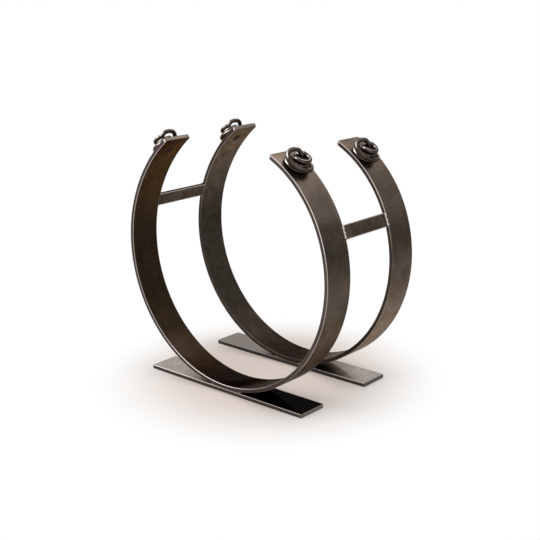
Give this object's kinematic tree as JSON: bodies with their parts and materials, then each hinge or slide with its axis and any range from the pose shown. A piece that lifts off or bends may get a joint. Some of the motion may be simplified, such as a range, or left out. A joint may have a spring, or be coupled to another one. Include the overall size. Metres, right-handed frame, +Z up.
{
  "type": "log holder",
  "caption": "Free-standing log holder: open hoops of flat bar joined by short tie bars, each welded on a flat foot bar and ending in forged rod knots; split logs lie across them",
  "frame": {"origin": "On the floor, under the middle of the holder: the centre of the bounding box's underside, midway between the hoops", "axes": "+X along the feet to the right hoop ends, +Y from the front hoop to the rear hoop along the logs, +Z up"},
  "size_m": [0.39, 0.197, 0.3775],
  "materials": {
    "bar_steel": "burnished and waxed, satin",
    "knot_steel": "forged and burnished, satin",
    "weld_metal": "rippled weld, lightly dressed"
  },
  "bodies": {
    "root": {"front_hoop": "bar_steel", "rear_hoop": "bar_steel", "front_foot": "bar_steel", "rear_foot": "bar_steel", "right_tie_bar": "bar_steel", "left_tie_bar": "bar_steel", "right_front_tie_weld": "weld_metal", "right_rear_tie_weld": "weld_metal", "left_front_tie_weld": "weld_metal", "left_rear_tie_weld": "weld_metal", "front_right_foot_weld": "weld_metal", "front_left_foot_weld": "weld_metal", "rear_right_foot_weld": "weld_metal", "rear_left_foot_weld": "weld_metal", "front_knot_lower_rods": "knot_steel", "front_knot_upper_rods": "knot_steel", "front_knot_shanks": "knot_steel", "rear_knot_lower_rods": "knot_steel", "rear_knot_upper_rods": "knot_steel", "rear_knot_shanks": "knot_steel"}
  },
  "joints": []
}
